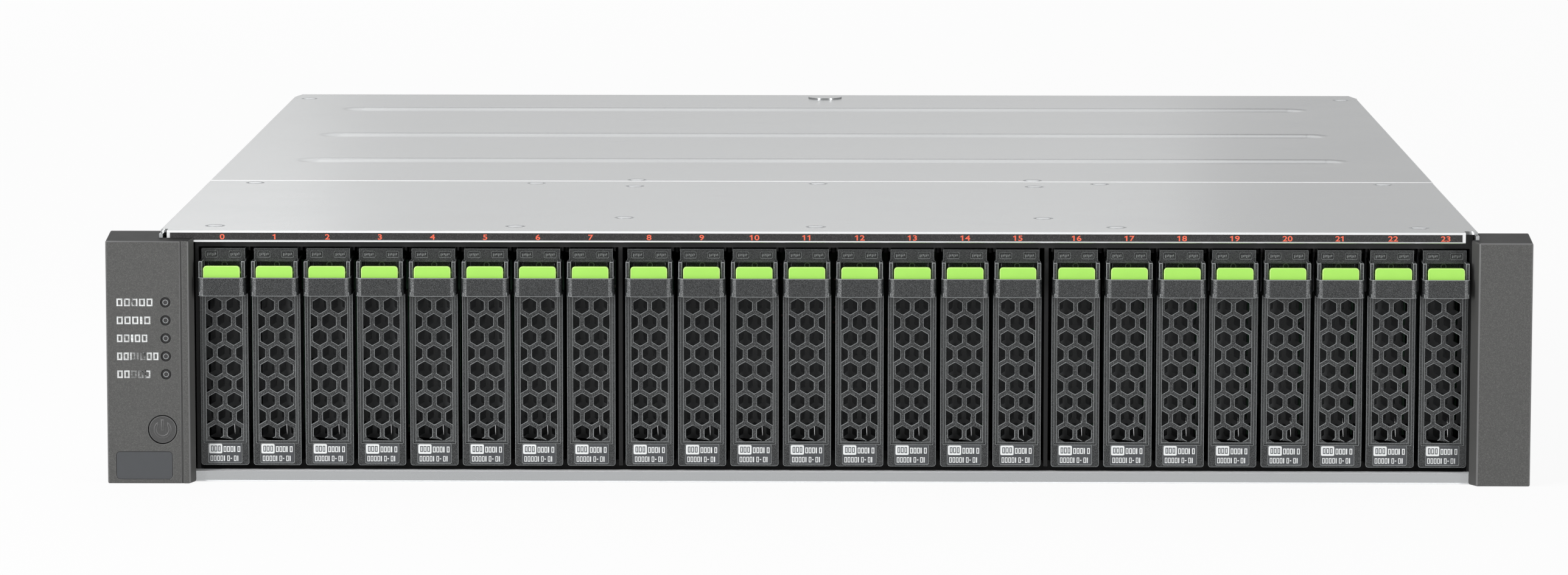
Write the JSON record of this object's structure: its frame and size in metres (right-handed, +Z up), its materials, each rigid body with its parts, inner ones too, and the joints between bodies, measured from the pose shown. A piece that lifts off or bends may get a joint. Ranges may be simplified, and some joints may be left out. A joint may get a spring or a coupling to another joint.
{
  "type": "disk shelf enclosure",
  "caption": "Rack-mounted disk shelf with upright hot-plug drives, perforated drive levers, operator panel ear, steel covers, rear controllers and power supplies.",
  "frame": {"origin": "on the underside, below the middle of the whole enclosure", "axes": "+X to the right seen from the front, +Y from the front to the back, +Z up"},
  "size_m": [0.4826, 0.547, 0.0866],
  "materials": {
    "zinc_steel": "zinc-plated sheet, satin",
    "cage_black": "black, matt",
    "circuit_board": "green solder mask",
    "ear_plastic": "charcoal, fine moulded texture",
    "button_plastic": "charcoal, satin",
    "carrier_plastic": "near black, fine moulded texture",
    "lever_plastic": "near black with a lime green latch",
    "module_steel": "zinc-plated sheet, satin"
  },
  "bodies": {
    "chassis": {"chassis_tray": "zinc_steel", "drive_cage": "cage_black", "midplane": "circuit_board", "front_cover": "zinc_steel", "rear_cover": "zinc_steel", "left_ear": "ear_plastic", "right_ear": "ear_plastic"},
    "drive_00": {"drive_00": "carrier_plastic"},
    "lever_00": {"lever_00": "lever_plastic"},
    "drive_01": {"drive_01": "carrier_plastic"},
    "lever_01": {"lever_01": "lever_plastic"},
    "drive_02": {"drive_02": "carrier_plastic"},
    "lever_02": {"lever_02": "lever_plastic"},
    "drive_03": {"drive_03": "carrier_plastic"},
    "lever_03": {"lever_03": "lever_plastic"},
    "drive_04": {"drive_04": "carrier_plastic"},
    "lever_04": {"lever_04": "lever_plastic"},
    "drive_05": {"drive_05": "carrier_plastic"},
    "lever_05": {"lever_05": "lever_plastic"},
    "drive_06": {"drive_06": "carrier_plastic"},
    "lever_06": {"lever_06": "lever_plastic"},
    "drive_07": {"drive_07": "carrier_plastic"},
    "lever_07": {"lever_07": "lever_plastic"},
    "drive_08": {"drive_08": "carrier_plastic"},
    "lever_08": {"lever_08": "lever_plastic"},
    "drive_09": {"drive_09": "carrier_plastic"},
    "lever_09": {"lever_09": "lever_plastic"},
    "drive_10": {"drive_10": "carrier_plastic"},
    "lever_10": {"lever_10": "lever_plastic"},
    "drive_11": {"drive_11": "carrier_plastic"},
    "lever_11": {"lever_11": "lever_plastic"},
    "drive_12": {"drive_12": "carrier_plastic"},
    "lever_12": {"lever_12": "lever_plastic"},
    "drive_13": {"drive_13": "carrier_plastic"},
    "lever_13": {"lever_13": "lever_plastic"},
    "drive_14": {"drive_14": "carrier_plastic"},
    "lever_14": {"lever_14": "lever_plastic"},
    "drive_15": {"drive_15": "carrier_plastic"},
    "lever_15": {"lever_15": "lever_plastic"},
    "drive_16": {"drive_16": "carrier_plastic"},
    "lever_16": {"lever_16": "lever_plastic"},
    "drive_17": {"drive_17": "carrier_plastic"},
    "lever_17": {"lever_17": "lever_plastic"},
    "drive_18": {"drive_18": "carrier_plastic"},
    "lever_18": {"lever_18": "lever_plastic"},
    "drive_19": {"drive_19": "carrier_plastic"},
    "lever_19": {"lever_19": "lever_plastic"},
    "drive_20": {"drive_20": "carrier_plastic"},
    "lever_20": {"lever_20": "lever_plastic"},
    "drive_21": {"drive_21": "carrier_plastic"},
    "lever_21": {"lever_21": "lever_plastic"},
    "drive_22": {"drive_22": "carrier_plastic"},
    "lever_22": {"lever_22": "lever_plastic"},
    "drive_23": {"drive_23": "carrier_plastic"},
    "lever_23": {"lever_23": "lever_plastic"},
    "power_button": {"power_button": "button_plastic"},
    "controller_lower": {"controller_lower": "module_steel"},
    "controller_upper": {"controller_upper": "module_steel"},
    "power_supply_left": {"power_supply_left": "module_steel"},
    "power_supply_right": {"power_supply_right": "module_steel"}
  },
  "joints": [
    {"name": "drive_00_slide", "type": "slide", "parent": "chassis", "child": "drive_00", "axis": [0, -1, 0], "range_m": [0, 0.14]},
    {"name": "lever_00_hinge", "type": "hinge", "parent": "drive_00", "child": "lever_00", "pos_m": [-0.20211, -0.264, 0.0145], "axis": [1, 0, 0], "range_deg": [0, 55]},
    {"name": "drive_01_slide", "type": "slide", "parent": "chassis", "child": "drive_01", "axis": [0, -1, 0], "range_m": [0, 0.14]},
    {"name": "lever_01_hinge", "type": "hinge", "parent": "drive_01", "child": "lever_01", "pos_m": [-0.18427, -0.264, 0.0145], "axis": [1, 0, 0], "range_deg": [0, 55]},
    {"name": "drive_02_slide", "type": "slide", "parent": "chassis", "child": "drive_02", "axis": [0, -1, 0], "range_m": [0, 0.14]},
    {"name": "lever_02_hinge", "type": "hinge", "parent": "drive_02", "child": "lever_02", "pos_m": [-0.16643, -0.264, 0.0145], "axis": [1, 0, 0], "range_deg": [0, 55]},
    {"name": "drive_03_slide", "type": "slide", "parent": "chassis", "child": "drive_03", "axis": [0, -1, 0], "range_m": [0, 0.14]},
    {"name": "lever_03_hinge", "type": "hinge", "parent": "drive_03", "child": "lever_03", "pos_m": [-0.14859, -0.264, 0.0145], "axis": [1, 0, 0], "range_deg": [0, 55]},
    {"name": "drive_04_slide", "type": "slide", "parent": "chassis", "child": "drive_04", "axis": [0, -1, 0], "range_m": [0, 0.14]},
    {"name": "lever_04_hinge", "type": "hinge", "parent": "drive_04", "child": "lever_04", "pos_m": [-0.13075, -0.264, 0.0145], "axis": [1, 0, 0], "range_deg": [0, 55]},
    {"name": "drive_05_slide", "type": "slide", "parent": "chassis", "child": "drive_05", "axis": [0, -1, 0], "range_m": [0, 0.14]},
    {"name": "lever_05_hinge", "type": "hinge", "parent": "drive_05", "child": "lever_05", "pos_m": [-0.11291, -0.264, 0.0145], "axis": [1, 0, 0], "range_deg": [0, 55]},
    {"name": "drive_06_slide", "type": "slide", "parent": "chassis", "child": "drive_06", "axis": [0, -1, 0], "range_m": [0, 0.14]},
    {"name": "lever_06_hinge", "type": "hinge", "parent": "drive_06", "child": "lever_06", "pos_m": [-0.09507, -0.264, 0.0145], "axis": [1, 0, 0], "range_deg": [0, 55]},
    {"name": "drive_07_slide", "type": "slide", "parent": "chassis", "child": "drive_07", "axis": [0, -1, 0], "range_m": [0, 0.14]},
    {"name": "lever_07_hinge", "type": "hinge", "parent": "drive_07", "child": "lever_07", "pos_m": [-0.07723, -0.264, 0.0145], "axis": [1, 0, 0], "range_deg": [0, 55]},
    {"name": "drive_08_slide", "type": "slide", "parent": "chassis", "child": "drive_08", "axis": [0, -1, 0], "range_m": [0, 0.14]},
    {"name": "lever_08_hinge", "type": "hinge", "parent": "drive_08", "child": "lever_08", "pos_m": [-0.05739, -0.264, 0.0145], "axis": [1, 0, 0], "range_deg": [0, 55]},
    {"name": "drive_09_slide", "type": "slide", "parent": "chassis", "child": "drive_09", "axis": [0, -1, 0], "range_m": [0, 0.14]},
    {"name": "lever_09_hinge", "type": "hinge", "parent": "drive_09", "child": "lever_09", "pos_m": [-0.03955, -0.264, 0.0145], "axis": [1, 0, 0], "range_deg": [0, 55]},
    {"name": "drive_10_slide", "type": "slide", "parent": "chassis", "child": "drive_10", "axis": [0, -1, 0], "range_m": [0, 0.14]},
    {"name": "lever_10_hinge", "type": "hinge", "parent": "drive_10", "child": "lever_10", "pos_m": [-0.02171, -0.264, 0.0145], "axis": [1, 0, 0], "range_deg": [0, 55]},
    {"name": "drive_11_slide", "type": "slide", "parent": "chassis", "child": "drive_11", "axis": [0, -1, 0], "range_m": [0, 0.14]},
    {"name": "lever_11_hinge", "type": "hinge", "parent": "drive_11", "child": "lever_11", "pos_m": [-0.00387, -0.264, 0.0145], "axis": [1, 0, 0], "range_deg": [0, 55]},
    {"name": "drive_12_slide", "type": "slide", "parent": "chassis", "child": "drive_12", "axis": [0, -1, 0], "range_m": [0, 0.14]},
    {"name": "lever_12_hinge", "type": "hinge", "parent": "drive_12", "child": "lever_12", "pos_m": [0.01397, -0.264, 0.0145], "axis": [1, 0, 0], "range_deg": [0, 55]},
    {"name": "drive_13_slide", "type": "slide", "parent": "chassis", "child": "drive_13", "axis": [0, -1, 0], "range_m": [0, 0.14]},
    {"name": "lever_13_hinge", "type": "hinge", "parent": "drive_13", "child": "lever_13", "pos_m": [0.03181, -0.264, 0.0145], "axis": [1, 0, 0], "range_deg": [0, 55]},
    {"name": "drive_14_slide", "type": "slide", "parent": "chassis", "child": "drive_14", "axis": [0, -1, 0], "range_m": [0, 0.14]},
    {"name": "lever_14_hinge", "type": "hinge", "parent": "drive_14", "child": "lever_14", "pos_m": [0.04965, -0.264, 0.0145], "axis": [1, 0, 0], "range_deg": [0, 55]},
    {"name": "drive_15_slide", "type": "slide", "parent": "chassis", "child": "drive_15", "axis": [0, -1, 0], "range_m": [0, 0.14]},
    {"name": "lever_15_hinge", "type": "hinge", "parent": "drive_15", "child": "lever_15", "pos_m": [0.06749, -0.264, 0.0145], "axis": [1, 0, 0], "range_deg": [0, 55]},
    {"name": "drive_16_slide", "type": "slide", "parent": "chassis", "child": "drive_16", "axis": [0, -1, 0], "range_m": [0, 0.14]},
    {"name": "lever_16_hinge", "type": "hinge", "parent": "drive_16", "child": "lever_16", "pos_m": [0.08733, -0.264, 0.0145], "axis": [1, 0, 0], "range_deg": [0, 55]},
    {"name": "drive_17_slide", "type": "slide", "parent": "chassis", "child": "drive_17", "axis": [0, -1, 0], "range_m": [0, 0.14]},
    {"name": "lever_17_hinge", "type": "hinge", "parent": "drive_17", "child": "lever_17", "pos_m": [0.10517, -0.264, 0.0145], "axis": [1, 0, 0], "range_deg": [0, 55]},
    {"name": "drive_18_slide", "type": "slide", "parent": "chassis", "child": "drive_18", "axis": [0, -1, 0], "range_m": [0, 0.14]},
    {"name": "lever_18_hinge", "type": "hinge", "parent": "drive_18", "child": "lever_18", "pos_m": [0.12301, -0.264, 0.0145], "axis": [1, 0, 0], "range_deg": [0, 55]},
    {"name": "drive_19_slide", "type": "slide", "parent": "chassis", "child": "drive_19", "axis": [0, -1, 0], "range_m": [0, 0.14]},
    {"name": "lever_19_hinge", "type": "hinge", "parent": "drive_19", "child": "lever_19", "pos_m": [0.14085, -0.264, 0.0145], "axis": [1, 0, 0], "range_deg": [0, 55]},
    {"name": "drive_20_slide", "type": "slide", "parent": "chassis", "child": "drive_20", "axis": [0, -1, 0], "range_m": [0, 0.14]},
    {"name": "lever_20_hinge", "type": "hinge", "parent": "drive_20", "child": "lever_20", "pos_m": [0.15869, -0.264, 0.0145], "axis": [1, 0, 0], "range_deg": [0, 55]},
    {"name": "drive_21_slide", "type": "slide", "parent": "chassis", "child": "drive_21", "axis": [0, -1, 0], "range_m": [0, 0.14]},
    {"name": "lever_21_hinge", "type": "hinge", "parent": "drive_21", "child": "lever_21", "pos_m": [0.17653, -0.264, 0.0145], "axis": [1, 0, 0], "range_deg": [0, 55]},
    {"name": "drive_22_slide", "type": "slide", "parent": "chassis", "child": "drive_22", "axis": [0, -1, 0], "range_m": [0, 0.14]},
    {"name": "lever_22_hinge", "type": "hinge", "parent": "drive_22", "child": "lever_22", "pos_m": [0.19437, -0.264, 0.0145], "axis": [1, 0, 0], "range_deg": [0, 55]},
    {"name": "drive_23_slide", "type": "slide", "parent": "chassis", "child": "drive_23", "axis": [0, -1, 0], "range_m": [0, 0.14]},
    {"name": "lever_23_hinge", "type": "hinge", "parent": "drive_23", "child": "lever_23", "pos_m": [0.21221, -0.264, 0.0145], "axis": [1, 0, 0], "range_deg": [0, 55]},
    {"name": "power_button_press", "type": "slide", "parent": "chassis", "child": "power_button", "axis": [0, 1, 0], "range_m": [0, 0.0012], "stiffness_N_per_m": 800, "springref_m": -0.001},
    {"name": "controller_lower_slide", "type": "slide", "parent": "chassis", "child": "controller_lower", "axis": [0, 1, 0], "range_m": [0, 0.37]},
    {"name": "controller_upper_slide", "type": "slide", "parent": "chassis", "child": "controller_upper", "axis": [0, 1, 0], "range_m": [0, 0.37]},
    {"name": "power_supply_left_slide", "type": "slide", "parent": "chassis", "child": "power_supply_left", "axis": [0, 1, 0], "range_m": [0, 0.37]},
    {"name": "power_supply_right_slide", "type": "slide", "parent": "chassis", "child": "power_supply_right", "axis": [0, 1, 0], "range_m": [0, 0.37]}
  ]
}
